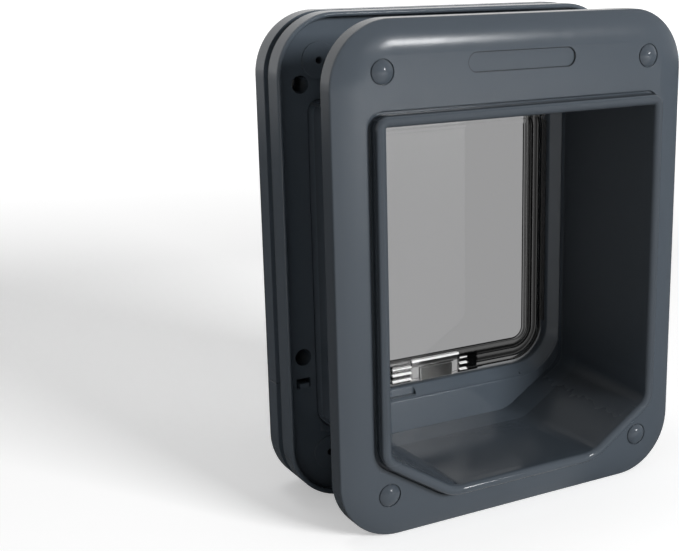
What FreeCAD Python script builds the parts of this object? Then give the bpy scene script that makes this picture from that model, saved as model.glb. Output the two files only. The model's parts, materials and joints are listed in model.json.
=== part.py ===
"""Self-lining cat flap: outer frame with tunnel, inner frame with a swinging see-through flap.

Built in millimetres. X runs right as seen by someone facing the outer side, Y runs from the outer side
through the wall to the inner side, Z is up. While building, y = 0 is the outer frame's flat face and
z = 0 is mid height; every piece is moved by PLACE at the end, so that the origin lies on the floor,
under the middle of the whole.
"""
import math
import os

import FreeCAD as App
import Part

# Both frames share one outline
FRAME_W = 200.0
FRAME_H = 250.0
CORNER_R = 31.0
WALL = 2.4               # usual wall of the mouldings
STEP_WALL = 2.2          # wall of the inner frame's stepped skirt and of the tunnel's socket
SEAT = 0.3               # clearance between pieces that plug together
GAP = 47.0               # room for the door between the two frames

# Outer frame
OUTER_DEPTH = 13.4       # flat face to back edge
CROWN_REACH = 16.0       # the face curves back over this much inside the outline
CROWN_R = 32.0           # radius of that curve
CROWN_EDGE_R = 1.2       # small round between it and the skirt
RIM_W = 5.4              # raised rim round the opening
RIM_H = 6.7
RIM_GROOVE_W = 1.1       # shadow groove between rim and face
RIM_GROOVE_DEEP = 1.2
GROOVE_EDGE_R = 0.5
TUNNEL_WALL = 5.1        # at the mouth; the inside widens by DRAFT towards the back
DRAFT = 2.4
RIB_T = 2.0

# Opening: mouth of the tunnel, measured in from the frame's outline
SIDE_BORDER = 23.1
TOP_BORDER = 47.5
FOOT_BORDER = 22.1
CHAMFER_W = 34.5         # the cut-in lower corners
CHAMFER_H = 22.4
OPEN_R = (0.8, 7.0, 16.0)    # corner radii: top, chamfer top, sill

# Domes over the screw bosses, and the oblong recess
DOME_FROM_SIDE = 24.3
DOME_FROM_END = 23.2
DOME_D = 11.0
DOME_H = 2.2
DOME_GAP = 0.5           # narrow groove round each dome
DOME_SINK = 0.6
RECESS_L = 61.0
RECESS_H = 9.3
RECESS_DOWN = 21.3       # its middle below the frame's top
RECESS_DEPTH = 1.0
SCREW_D = 3.2            # long fixing screws, supplied loose

# Inner base
BASE_PLATE_IN = 5.7      # plate lies this far behind the rim edge
BASE_SIDE = 10.8         # side band
GROOVE = 5.7             # shadow groove between base and cover
GROOVE_DEEP = 2.3
BASE_HOLE_D = 3.6
BOSS_D = 18.0
BOSS_PROUD = 0.8
HIGH_WELL = (14.3, 34.5)     # wells of the cover's screws: in from the side, and down from the top
LOW_WELL = (11.0, 77.3)      # or up from the foot
WELL_D = 8.8
WELL_WALL = 1.9
WELL_LONG = 18.0
COVER_SCREW_D = 3.0
COVER_SCREW_LONG = 9.0
COVER_SCREW_HEAD = (7.0, 2.4)    # diameter, height

# Catch of the lower cover: an arm through a window in the base plate
LATCH_FROM_SIDE = 10.6
LATCH_UP = 1.5           # above the seam
LATCH_W = 7.7
LATCH_H = 5.3
ARM_W = 5.0
ARM_T = 2.6
ARM_PROUD = 1.2
ARM_DROP = 6.0           # its foot reaches below the arm

# Lip round the flap
LIP_SIDE = 2.7           # the flap's way is this much narrower than the opening, on each side
LIP_REACH = 6.5          # slanting lip, in the plane of the frame
LIP_DROP = 5.2           # and along the tunnel
LIP_EDGE_R = 0.7
LIP_TURN_R = 1.6
LIP_LAND = 0.9           # slant between the lip's edge and a fine shadow step
LIP_STEP = 0.35
FACE_BACK = 12.5         # front of the lip behind the base plate
LIP_SHORT = 0.5          # its jambs end this far inside the cover's back
WAY_TOP_R = 3.0
PIP_FROM_SIDE = 20.6     # small moulded pip on the lip, in from the way's side
PIP_D = 1.6
PIP_BACK = 0.28          # its place along the slant, from the edge

# Inner cover
COVER_SIDE = 9.2
COVER_REACH = 13.3       # its rolled edge reaches this far in from the outline
COVER_ROLL = 8.5         # and drops this much
COVER_ROLL_THIN = 0.8
SEAM_UP = 62.0           # seam between the two covers, above the frame's foot
SEAM_GAP = 0.3

# Flap
RISER = 22.7             # bottom of the flap above the sill of the opening
HINGE_DOWN = 6.5         # hinge below the top of the opening
HINGE_BAR_R = 4.0
FLAP_GAP_SIDE = 1.0
FLAP_GAP_BOTTOM = 1.0
FLAP_GAP_TOP = 1.7
FLAP_R = 20.0
FLAP_TOP_R = 1.0
BORDER_W = 13.6
BORDER_T = 3.0
BORDER_RIBS = 3
BORDER_RIB_W = 2.4
BORDER_RIB_STEP = 0.2    # each rib lies this much behind the one inside it
BORDER_RIB_R = 0.35
BORDER_IN = 1.2          # from the pane to the first rib
BORDER_OUT = 1.0         # from the last rib to the flap's edge
BORDER_DEEP = 1.5        # floor of the grooves between the ribs
PANE_T = 1.8
FLAP_TO_BACK = 8.1       # front of the border to the back of the inner cover
PIN_D = 3.0
PIN_LONG = 22.0
PIN_END_GAP = 1.0
PIN_RUN = 0.05           # radial running clearance in the bush
BUSH_D = 5.0
BUSH_FLANGE_D = 8.0
BUSH_FLANGE_T = 1.2
BUSH_END_GAP = 0.3       # between flap and bush
PIVOT_BLOCK = 7.8        # from the way's side to the block's outer face

# Catch at the flap's bottom centre
CATCH_W = 55.0           # over the ribbed wings
CATCH_BLOCK_W = 30.4     # block through the flap
CATCH_BOX_W = 22.0       # magnet box in front of it
CATCH_TALL = 12.0
WING_TALL = 10.4
BOX_TALL = 8.2
CATCH_FOOT = 0.2         # above the flap's bottom
CATCH_EDGE_R = 0.5
BOX_PROUD = 2.7          # in front of the flap's border
BLOCK_PROUD = 1.3
BLOCK_BACK = 0.8         # behind it
WING_SEAT = 1.7          # the wings sink this deep into the border
WING_PROUD = 0.5
WING_RIB_T = 0.9
WING_RIB_PROUD = 0.9
WING_RIBS_DOWN = (1.7, 3.7, 5.3)    # rib middles below the wing's top
WING_FLANGE_T = 1.5
WING_PEGS = ((0.0, 0.42), (0.50, 0.96))    # rows along the wing's top, as shares of its length
MAGNET = (19.6, 2.4, 6.6)
MAGNET_COVER = 0.9       # clear wall in front of it
MAGNET_GAP = 0.2
CATCH_SCREW_X = 21.3
CATCH_SCREW_UP = 4.7     # above the flap's bottom
CATCH_SCREW_D = 2.2
CATCH_SCREW_HEAD = (3.6, 0.8)
CATCH_SCREW_SINK = 0.5
CATCH_SCREW_BITE = 2.0

# Draught strips in the jambs
STRIP_SEAT = 1.2
STRIP_W = 3.6
STRIP_T = 1.7
STRIP_FOOT_GAP = 1.2     # above the start of the flap's round corner
STRIP_TOP_GAP = 12.0     # below the hinge

# Lock bolts, their buttons and their guide
BOLT_X = 25.0
BOLT_W = 18.6
OUT_BOLT_T = 2.4
IN_BOLT_T = 1.7
BOLT_TRAVEL = 9.0
BOLT_UP = 13.0           # foot of the bolts above the frame's foot
OUT_BOLT_IN = 1.8        # front of the out bolt behind the front of the lip
OUT_BOLT_DOWN = 4.8      # its top below the flap's way
IN_BOLT_DOWN = 1.0
STEM_W = 5.0
STEM_UP = 5.0            # above the bolt's foot
STEM_H = 5.0
BUTTON_W = 12.0
BUTTON_T = 2.5
BUTTON_H = 9.0
GRIP_PITCH = 2.0
GRIP_W = 0.8
GRIP_DEEP = 0.5
GUIDE_T = 2.4
GUIDE_DOWN = 12.8        # top of the guide below the flap's bottom
GUIDE_FOOT = 1.0         # below the bolts
GUIDE_SIDE = 1.4         # plate outside its rails
RAIL_T = 2.0
GUIDE_SCREW_X = 7.0
GUIDE_SCREW_UP = 9.0     # above the bolts' foot
GUIDE_SCREW_D = 3.0
GUIDE_SCREW_HEAD = (6.0, 2.0)
GUIDE_BOSS_D = 8.0

# Magnet under the sill
HOLDER_W = 24.0
HOLDER_H = 8.4
SILL_MAGNET = (16.0, 3.2, 4.6)

# Screw heads, as shares of the head's height and diameter
HEAD_SLOPE = 0.4
HEAD_TOP = 0.7
RECESS_ARM = 0.28
RECESS_SLOT = 0.07
RECESS_SINK = 0.55

# Small overlaps that join shapes of one piece, and the reach of cutting tools past a face
JOIN = 0.4
PAST = 1.0
SMALLEST_R = 0.4         # where an outline shrinks past its corner radius
TINY = 1e-5

# Places across the frame that follow
OPEN_HALF = FRAME_W / 2 - SIDE_BORDER
OPEN_TOP = FRAME_H / 2 - TOP_BORDER
OPEN_BOTTOM = FOOT_BORDER - FRAME_H / 2
CHAMFER_TOP = OPEN_BOTTOM + CHAMFER_H
SILL_HALF = OPEN_HALF - CHAMFER_W
DOME_X = FRAME_W / 2 - DOME_FROM_SIDE
DOME_Z = FRAME_H / 2 - DOME_FROM_END
RECESS_Z = FRAME_H / 2 - RECESS_DOWN
WELLS = ((FRAME_W / 2 - HIGH_WELL[0], FRAME_H / 2 - HIGH_WELL[1]),
         (FRAME_W / 2 - LOW_WELL[0], LOW_WELL[1] - FRAME_H / 2))
SEAM_Z = SEAM_UP - FRAME_H / 2
LATCH_X = FRAME_W / 2 - LATCH_FROM_SIDE
LATCH_Z = SEAM_Z + LATCH_UP
WAY_HALF = OPEN_HALF - LIP_SIDE
FLAP_HALF = WAY_HALF - FLAP_GAP_SIDE
FLAP_BOTTOM = OPEN_BOTTOM + RISER
WAY_BOTTOM = FLAP_BOTTOM - FLAP_GAP_BOTTOM
SILL_UNDER = WAY_BOTTOM - WALL
HINGE_Z = OPEN_TOP - HINGE_DOWN
PIVOT_BLOCK_X = WAY_HALF + PIVOT_BLOCK
PIN_HELD = PIN_LONG - (PIVOT_BLOCK_X - FLAP_HALF)
CATCH_LOW = FLAP_BOTTOM + CATCH_FOOT
CATCH_TOP = CATCH_LOW - CATCH_FOOT + CATCH_TALL
WING_TOP = FLAP_BOTTOM + WING_TALL
BOX_TOP = FLAP_BOTTOM + BOX_TALL
CATCH_SCREW_Z = FLAP_BOTTOM + CATCH_SCREW_UP
BOLT_FOOT = BOLT_UP - FRAME_H / 2
STEM_Z = BOLT_FOOT + STEM_UP
GUIDE_TOP = FLAP_BOTTOM - GUIDE_DOWN
GUIDE_LOW = BOLT_FOOT - GUIDE_FOOT
GUIDE_SCREW_Z = BOLT_FOOT + GUIDE_SCREW_UP

# Places along Y that follow
BASE_Y = OUTER_DEPTH + GAP
PLATE_Y = BASE_Y + BASE_PLATE_IN
SHOULDER_Y = BASE_Y + BASE_SIDE
JOINT_Y = SHOULDER_Y + GROOVE / 2
COVER_Y = SHOULDER_Y + GROOVE
LIP_Y = PLATE_Y + FACE_BACK
COVER_BACK = COVER_Y + COVER_SIDE + COVER_ROLL
COVER_IN = COVER_BACK - WALL
FLAP_Y = COVER_BACK - FLAP_TO_BACK
FLAP_MID = FLAP_Y + BORDER_T / 2
FLAP_BACK = FLAP_Y + BORDER_T
LIP_BACK = COVER_BACK - LIP_SHORT
WELL_FLOOR = PLATE_Y + WELL_LONG
OUT_BOLT_Y = LIP_Y + OUT_BOLT_IN
IN_BOLT_Y = COVER_IN - SEAT - IN_BOLT_T
GUIDE_Y = OUT_BOLT_Y + OUT_BOLT_T + SEAT
GUIDE_BACK = GUIDE_Y + GUIDE_T
WING_BACK = FLAP_Y + WING_SEAT
BUTTON_Y = COVER_BACK + SEAT
BUTTON_BACK = BUTTON_Y + BUTTON_T

PLACE = App.Vector(0, -(BUTTON_BACK - RIM_H) / 2, FRAME_H / 2)
X_AXIS, Y_AXIS, Z_AXIS = App.Vector(1, 0, 0), App.Vector(0, 1, 0), App.Vector(0, 0, 1)


def at(x, y, z):
    return App.Vector(x, y, z)


# Outlines: corners (x, z, radius) in turn, anticlockwise as seen from the outer side
def frame_outline(shrink=0.0):
    w, h = FRAME_W / 2 - shrink, FRAME_H / 2 - shrink
    r = CORNER_R - shrink
    return [(-w, -h, r), (w, -h, r), (w, h, r), (-w, h, r)]


def opening(grow=0.0):
    top, knee, sill = OPEN_R
    return grown([(-SILL_HALF, OPEN_BOTTOM, sill), (SILL_HALF, OPEN_BOTTOM, sill),
                  (OPEN_HALF, CHAMFER_TOP, knee), (OPEN_HALF, OPEN_TOP, top),
                  (-OPEN_HALF, OPEN_TOP, top), (-OPEN_HALF, CHAMFER_TOP, knee)], grow)


def flap_way(grow=0.0):
    """The inside of the lip, that the flap swings through."""
    high = HINGE_Z + HINGE_BAR_R + FLAP_GAP_TOP
    r = FLAP_R + FLAP_GAP_SIDE
    return grown([(-WAY_HALF, WAY_BOTTOM, r), (WAY_HALF, WAY_BOTTOM, r),
                  (WAY_HALF, high, WAY_TOP_R), (-WAY_HALF, high, WAY_TOP_R)], grow)


def flap_outline(grow=0.0):
    return grown([(-FLAP_HALF, FLAP_BOTTOM, FLAP_R), (FLAP_HALF, FLAP_BOTTOM, FLAP_R),
                  (FLAP_HALF, HINGE_Z, FLAP_TOP_R), (-FLAP_HALF, HINGE_Z, FLAP_TOP_R)], grow)


def side_directions(corners):
    """Direction of the side that ends in each corner, and of the side that leaves it."""
    pairs = []
    for i, (x, z, r) in enumerate(corners):
        before, after = corners[i - 1], corners[(i + 1) % len(corners)]
        a = at(x - before[0], 0, z - before[1]).normalize()
        b = at(after[0] - x, 0, after[1] - z).normalize()
        pairs.append((a, b))
    return pairs


def outward(direction):
    return at(direction.z, 0, -direction.x)


def grown(corners, grow):
    """The outline with each side moved out by grow; the corner radii follow."""
    result = []
    for (x, z, r), (a, b) in zip(corners, side_directions(corners)):
        n1, n2 = outward(a), outward(b)
        step = (n1 + n2) * (grow / (1 + n1.dot(n2)))
        result.append((x + step.x, z + step.z, max(r + grow, SMALLEST_R)))
    return result


def bends(corners):
    """For each corner: where its arc starts and ends, its centre, its turn and the first normal."""
    found = []
    for (x, z, r), (a, b) in zip(corners, side_directions(corners)):
        turn = a.getAngle(b)
        reach = r * math.tan(turn / 2)
        corner = at(x, 0, z)
        start, end = corner - a * reach, corner + b * reach
        found.append((start, end, start - outward(a) * r, turn, outward(a)))
    return found


def outline_wire(corners, y):
    edges = []
    arcs = bends(corners)
    lift = at(0, y, 0)
    for i, (start, end, centre, turn, normal) in enumerate(arcs):
        middle = (start - centre) + (end - centre)
        middle = centre + middle.normalize() * (start - centre).Length
        edges.append(Part.Arc(start + lift, middle + lift, end + lift).toShape())
        edges += lines(end + lift, arcs[(i + 1) % len(arcs)][0] + lift)
    return Part.Wire(edges)


def lines(*points):
    return [Part.makeLine(a, b) for a, b in zip(points, points[1:]) if (a - b).Length > TINY]


# Solids that follow an outline
def prism(corners, y0, y1):
    return Part.Face(outline_wire(corners, y0)).extrude(at(0, y1 - y0, 0))


def ring(corners, inner, outer, y0, y1):
    """A straight wall that follows an outline, between two growths of it."""
    return prism(grown(corners, outer), y0, y1).cut(prism(grown(corners, inner), y0 - PAST, y1 + PAST))


def swept(corners, section):
    """A section carried round an outline: drawn out along its sides, turned about its corners.

    section(place) returns a closed wire; place(d, y) puts a point d outside the outline.
    """
    arcs = bends(corners)
    pieces = []
    for i, (start, end, centre, turn, normal) in enumerate(arcs):
        turned = Part.Face(section(lambda d, y: start + normal * d + at(0, y, 0)))
        pieces.append(turned.revolve(centre, -Y_AXIS, math.degrees(turn)))
        following = arcs[(i + 1) % len(arcs)]
        if (following[0] - end).Length > TINY:
            drawn = Part.Face(section(lambda d, y: end + following[4] * d + at(0, y, 0)))
            pieces.append(drawn.extrude(following[0] - end))
    return fused(pieces)


def fused(shapes):
    result = shapes[0].multiFuse(shapes[1:]) if len(shapes) > 1 else shapes[0]
    return result.removeSplitter()


def cut_all(shape, tools):
    for tool in tools:
        shape = shape.cut(tool)
    return shape


def section_wire(place, corners):
    """A closed section through corners (d, y, radius), each rounded to its radius."""
    points = [place(d, y) for d, y, r in corners]
    bent = []
    for i, (d, y, r) in enumerate(corners):
        back = (points[i - 1] - points[i]).normalize()
        ahead = (points[(i + 1) % len(points)] - points[i]).normalize()
        if r > 0:
            half = back.getAngle(ahead) / 2
            inward = (back + ahead).normalize()
            reach = r / math.tan(half)
            middle = points[i] + inward * (r / math.sin(half) - r)
            bent.append((points[i] + back * reach, middle, points[i] + ahead * reach))
        else:
            bent.append((points[i], None, points[i]))
    edges = []
    for i, (start, middle, end) in enumerate(bent):
        if middle is not None:
            edges.append(Part.Arc(start, middle, end).toShape())
        edges += lines(end, bent[(i + 1) % len(bent)][0])
    return Part.Wire(edges)


def quarter(centre, first, last):
    """A quarter ellipse about centre, from first to last."""
    major, minor = (first, last) if (first - centre).Length >= (last - centre).Length else (last, first)
    return Part.Edge(Part.Ellipse(major, minor, centre), 0, math.pi / 2)


def rolled_block(outline, reach, face, drop, end):
    """A plate with a rolled edge: flat at y = face, rolling back by drop over reach, then straight to end."""
    inner = grown(outline, -reach)

    def section(place):
        edges = [quarter(place(0, face + drop), place(reach, face + drop), place(0, face))]
        edges += lines(place(reach, face + drop), place(reach, end), place(0, end), place(0, face))
        return Part.Wire(Part.__sortEdges__(edges))

    return fused([swept(inner, section), prism(inner, face, end)])


def crowned_block(outline, reach, radius, edge_r, face, end):
    """A plate whose face curves back towards its outline by a large radius and ends in a small round."""
    inner = grown(outline, -reach)
    turn_d = reach - edge_r
    turn_y = face + radius - math.sqrt((radius - edge_r) ** 2 - turn_d ** 2)
    slope = math.asin(turn_d / (radius - edge_r))

    def section(place):
        def on_crown(angle):
            return place(radius * math.sin(angle), face + radius * (1 - math.cos(angle)))

        def on_edge(angle):
            return place(turn_d + edge_r * math.sin(angle), turn_y - edge_r * math.cos(angle))

        crown = Part.Arc(on_crown(0), on_crown(slope / 2), on_crown(slope))
        edge = Part.Arc(on_edge(slope), on_edge((slope + math.pi / 2) / 2), on_edge(math.pi / 2))
        return Part.Wire([crown.toShape(), edge.toShape()] + lines(
            place(reach, turn_y), place(reach, end), place(0, end), place(0, face)))

    return fused([swept(inner, section), prism(inner, face, end)])


# Plain solids
def box(x0, x1, y0, y1, z0, z1):
    """Between two values on each axis, given in either order."""
    (x0, x1), (y0, y1), (z0, z1) = sorted((x0, x1)), sorted((y0, y1)), sorted((z0, z1))
    return Part.makeBox(x1 - x0, y1 - y0, z1 - z0, at(x0, y0, z0))


def rod(radius, x, z, y0, y1):
    """A cylinder along Y."""
    return Part.makeCylinder(radius, y1 - y0, at(x, y0, z), Y_AXIS)


def cross_rod(radius, y, z, x0, x1):
    """A cylinder along X, between x0 and x1 in either order."""
    x0, x1 = sorted((x0, x1))
    return Part.makeCylinder(radius, x1 - x0, at(x0, y, z), X_AXIS)


def tongue(x, half, y0, y1, z0, z1):
    """A flat bar that stands along Z, with full round edges at x - half and x + half."""
    r = (y1 - y0) / 2
    ends = [Part.makeCylinder(r, z1 - z0, at(x + s * (half - r), y0 + r, z0), Z_AXIS) for s in (-1, 1)]
    return fused([box(x - half + r, x + half - r, y0, y1, z0, z1)] + ends)


def both_sides(make, *places):
    """One copy at x and one at -x of whatever make(x, z) returns."""
    return [make(side * x, z) for x, z in places for side in (-1, 1)]


def rounded(shape, radius, pick):
    return shape.makeFillet(radius, [edge for edge in shape.Edges if pick(edge)])


def lies_at_y(y):
    return lambda edge: abs(edge.BoundBox.YMin - y) < TINY and abs(edge.BoundBox.YMax - y) < TINY


def cap_radius(width, height):
    """Radius of the sphere whose cap has this width and height."""
    return ((width / 2) ** 2 + height ** 2) / (2 * height)


def headed_screw(x, z, seat_y, head, shank_d, length):
    """Pan head before seat_y, shank behind it, cross recess in the head."""
    head_d, head_h = head
    top = seat_y - head_h
    slope_end = top + head_h * HEAD_SLOPE
    head = fused([rod(head_d / 2, x, z, slope_end, seat_y),
                  Part.makeCone(head_d * HEAD_TOP / 2, head_d / 2, slope_end - top, at(x, top, z), Y_AXIS)])
    screw = fused([head, rod(shank_d / 2, x, z, seat_y, seat_y + length)])
    arm, slot, deep = head_d * RECESS_ARM, head_d * RECESS_SLOT, head_h * RECESS_SINK
    return cut_all(screw, [box(x - a, x + a, top - PAST, top + deep, z - b, z + b)
                           for a, b in ((arm, slot), (slot, arm))])


def turned_about(screw, x, z, seat_y):
    """The same screw driven from the inner side: its head behind seat_y."""
    screw = screw.copy()
    screw.rotate(at(x, seat_y, z), Z_AXIS, 180)
    return screw


# Outer frame
CORNERS = ((DOME_X, DOME_Z), (DOME_X, -DOME_Z))


def boss_ribs():
    """Each screw boss is tied to the skirt and to the tunnel by ribs behind the face."""
    half, front, back = RIB_T / 2, WALL / 2, OUTER_DEPTH - RIB_T
    limit = crowned_block(frame_outline(WALL / 2), CROWN_REACH - WALL / 2, CROWN_R - WALL / 2, CROWN_EDGE_R,
                          WALL / 2, OUTER_DEPTH)
    ribs = []
    for x, z, wall_z in ((DOME_X, DOME_Z, OPEN_TOP + TUNNEL_WALL / 2),
                         (DOME_X, -DOME_Z, CHAMFER_TOP - TUNNEL_WALL)):
        edge_z = math.copysign(FRAME_H / 2, z)
        ribs += both_sides(lambda rx, rz: box(rx - half, rx + half, front, back, wall_z, edge_z), (x, z))
        ribs += both_sides(lambda rx, rz: box(rx, math.copysign(FRAME_W / 2, rx), front, back,
                                              rz - half, rz + half), (x, z))
    return [rib.common(limit) for rib in ribs]


def stadium(width, height, z, y0, y1):
    end_r = height / 2
    half = width / 2 - end_r
    return fused([box(-half, half, y0, y1, z - end_r, z + end_r)]
                 + [rod(end_r, s * half, z, y0, y1) for s in (-1, 1)])


def outer_frame():
    shell = crowned_block(frame_outline(), CROWN_REACH, CROWN_R, CROWN_EDGE_R, 0.0, OUTER_DEPTH)
    hollow = crowned_block(frame_outline(WALL), CROWN_REACH - WALL, CROWN_R - WALL, CROWN_EDGE_R / 2, WALL,
                           OUTER_DEPTH + PAST)
    tunnel_end = LIP_Y - SEAT
    tunnel = prism(opening(TUNNEL_WALL), WALL / 2, tunnel_end)

    def rim(place):
        return section_wire(place, [(0, -RIM_H, RIM_W / 2), (RIM_W, -RIM_H, RIM_W / 2),
                                    (RIM_W, PAST, 0), (0, PAST, 0)])

    def shadow_groove(place):
        far, edge = RIM_W + RIM_GROOVE_W, GROOVE_EDGE_R
        middle = edge * (1 - math.sqrt(0.5))
        nook = Part.Arc(place(far + edge, 0), place(far + middle, middle), place(far, edge))
        return Part.Wire([nook.toShape()] + lines(
            place(far, edge), place(far, RIM_GROOVE_DEEP), place(RIM_W, RIM_GROOVE_DEEP),
            place(RIM_W, -JOIN), place(far + edge, -JOIN), place(far + edge, 0)))

    bosses = both_sides(lambda x, z: rod(SCREW_D / 2 + WALL, x, z, WALL / 2, OUTER_DEPTH - PAST), *CORNERS)
    frame = fused([shell.cut(hollow), tunnel] + boss_ribs() + bosses)
    frame = fused([frame.cut(swept(opening(), shadow_groove)), swept(opening(), rim)])

    mouth = prism(opening(), -RIM_H - PAST, 0.0)
    widening = Part.makeLoft([outline_wire(opening(), 0.0), outline_wire(opening(DRAFT), tunnel_end + PAST)],
                             True, True)
    dome_r = cap_radius(DOME_D, DOME_H)
    grooves = both_sides(lambda x, z: rod(DOME_D / 2 + DOME_GAP, x, z, -PAST, DOME_SINK), *CORNERS)
    domes = both_sides(lambda x, z: Part.makeSphere(dome_r, at(x, dome_r - DOME_H, z)).common(
        rod(DOME_D / 2, x, z, -DOME_H - PAST, WALL)), *CORNERS)
    frame = fused([cut_all(frame, [mouth, widening] + grooves)] + domes)
    holes = both_sides(lambda x, z: rod(SCREW_D / 2, x, z, WALL / 2, OUTER_DEPTH), *CORNERS)
    return cut_all(frame, holes + [stadium(RECESS_L, RECESS_H, RECESS_Z, -PAST, RECESS_DEPTH)])


# Inner base
def lip_section(place):
    """Crisp edge, fine shadow step and slant from the front face into the flap's way, then a thin jamb."""
    slope = math.atan2(LIP_DROP, LIP_REACH)
    along = at(-math.cos(slope), math.sin(slope), 0)
    inward = at(math.sin(slope), math.cos(slope), 0)
    edge_end = at(LIP_REACH, 0, 0) + along * LIP_LAND
    step = edge_end + inward * LIP_STEP
    flat = LIP_REACH + WALL * 2 / 3
    turn_y = LIP_Y + LIP_DROP
    return section_wire(place, [
        (flat, LIP_Y, 0), (LIP_REACH, LIP_Y, LIP_EDGE_R), (edge_end.x, LIP_Y + edge_end.y, 0),
        (step.x, LIP_Y + step.y, 0), (0, turn_y, LIP_TURN_R), (0, LIP_BACK, 0), (WALL, LIP_BACK, 0),
        (WALL, turn_y + WALL / 2, LIP_EDGE_R), (flat, LIP_Y + WALL, 0)])


def skirt_step(outline):
    """The wall behind the base's rim, set in from it, with the lap that the cover sits on."""
    step_in = -GROOVE_DEEP - STEP_WALL
    return [ring(outline, step_in, -WALL / 2, SHOULDER_Y - WALL, SHOULDER_Y),
            ring(outline, step_in, -GROOVE_DEEP, PLATE_Y, JOINT_Y)]


def pivot_blocks():
    """Bearing blocks outside the lip's jambs, that hold the bushes."""
    half = BUSH_D / 2 + WALL
    return both_sides(lambda x, z: box(math.copysign(WAY_HALF + WALL / 2, x), x, FLAP_MID - half,
                                       COVER_IN - SEAT, z - half, z + half), (PIVOT_BLOCK_X, HINGE_Z))


def lip_pips():
    """Small round pips low on the lip's slant."""
    mid_d, mid_y = LIP_REACH * (1 - PIP_BACK), LIP_Y + LIP_DROP * PIP_BACK
    return both_sides(lambda x, z: Part.makeSphere(PIP_D / 2, at(x, mid_y, z)),
                      (WAY_HALF - PIP_FROM_SIDE, WAY_BOTTOM - mid_d))


def bolt_slots():
    """The bolts' ways through the sill; the out bolt's runs on as a channel behind the riser."""
    half = BOLT_W / 2 + SEAT
    return [tongue(-BOLT_X, half, OUT_BOLT_Y - SEAT, OUT_BOLT_Y + OUT_BOLT_T + SEAT, GUIDE_LOW, FLAP_BOTTOM),
            tongue(BOLT_X, half, IN_BOLT_Y - SEAT, IN_BOLT_Y + IN_BOLT_T + SEAT, GUIDE_TOP, FLAP_BOTTOM)]


def strip_span():
    return FLAP_BOTTOM + FLAP_R + STRIP_FOOT_GAP, HINGE_Z - STRIP_TOP_GAP


def inner_base():
    outline = frame_outline()

    def rim(place):
        return section_wire(place, [(-WALL, BASE_Y, WALL / 2), (0, BASE_Y, WALL / 2),
                                    (0, SHOULDER_Y, 0), (-WALL, SHOULDER_Y, 0)])

    socket = TUNNEL_WALL + SEAT
    parts = [swept(outline, rim), prism(grown(outline, -WALL / 2), PLATE_Y, PLATE_Y + WALL),
             prism(opening(socket + STEP_WALL), PLATE_Y, LIP_Y + WALL)] + skirt_step(outline)
    parts += both_sides(lambda x, z: rod(BOSS_D / 2, x, z, PLATE_Y - BOSS_PROUD, PLATE_Y + WALL), *CORNERS)
    parts += both_sides(lambda x, z: rod(BASE_HOLE_D / 2 + WALL, x, z, PLATE_Y, JOINT_Y), *CORNERS)
    parts += both_sides(lambda x, z: rod(WELL_D / 2 + WELL_WALL, x, z, PLATE_Y, WELL_FLOOR), *WELLS)
    base = cut_all(fused(parts), [prism(opening(socket), BASE_Y, LIP_Y),
                                  prism(flap_way(LIP_REACH + WALL / 2), LIP_Y - PAST, LIP_Y + WALL + PAST)])
    base = fused([base, swept(flap_way(), lip_section)] + pivot_blocks() + lip_pips())

    holes = both_sides(lambda x, z: rod(BASE_HOLE_D / 2, x, z, BASE_Y, COVER_Y), *CORNERS)
    holes += both_sides(lambda x, z: rod(WELL_D / 2, x, z, BASE_Y, WELL_FLOOR - WALL), *WELLS)
    holes += both_sides(lambda x, z: rod(COVER_SCREW_D / 2 + SEAT, x, z, PLATE_Y, COVER_BACK), *WELLS)
    holes += both_sides(lambda x, z: box(x - LATCH_W / 2, x + LATCH_W / 2, BASE_Y, PLATE_Y + WALL + PAST,
                                         z - LATCH_H / 2, z + LATCH_H / 2), (LATCH_X, LATCH_Z))
    holes += both_sides(lambda x, z: cross_rod(BUSH_D / 2 + SEAT, FLAP_MID, z, x,
                                               math.copysign(FRAME_W / 2 - WALL, x)), (FLAP_HALF, HINGE_Z))
    holes += both_sides(lambda x, z: rod(GUIDE_SCREW_D / 2 + SEAT, x, z, LIP_Y + JOIN, LIP_Y + WALL + PAST),
                        (GUIDE_SCREW_X, GUIDE_SCREW_Z))
    low, high = strip_span()
    holes += both_sides(lambda x, z: box(x, x + math.copysign(STRIP_SEAT, x), FLAP_Y - SEAT,
                                         FLAP_Y + STRIP_W + SEAT, low - SEAT, high + SEAT), (WAY_HALF, 0))
    return cut_all(base, holes + bolt_slots())


# Inner cover, in one piece until it is parted along the seam
def cover_whole():
    outline = frame_outline()
    step_in = -GROOVE_DEEP - STEP_WALL
    shell = rolled_block(outline, COVER_REACH, COVER_BACK, -COVER_ROLL, COVER_Y)
    step = prism(grown(outline, -GROOVE_DEEP), JOINT_Y, COVER_Y)
    hollow = rolled_block(grown(outline, step_in), COVER_REACH + step_in + SEAT, COVER_IN,
                          COVER_ROLL_THIN - COVER_ROLL, JOINT_Y - PAST)
    bosses = both_sides(lambda x, z: rod(COVER_SCREW_D / 2 + WALL, x, z, WELL_FLOOR, COVER_IN + JOIN), *WELLS)
    bores = both_sides(lambda x, z: rod(COVER_SCREW_D / 2 + SEAT, x, z, WELL_FLOOR - PAST, COVER_IN - JOIN),
                       *WELLS)
    cover = fused([fused([shell, step]).cut(hollow)] + bosses)
    return cut_all(cover, bores + [prism(flap_way(WALL + SEAT), JOINT_Y, COVER_BACK + PAST)])


def inner_cover(cover):
    return cover.common(box(-FRAME_W, FRAME_W, 0, 2 * COVER_BACK, SEAM_Z + SEAM_GAP / 2, FRAME_H))


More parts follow.
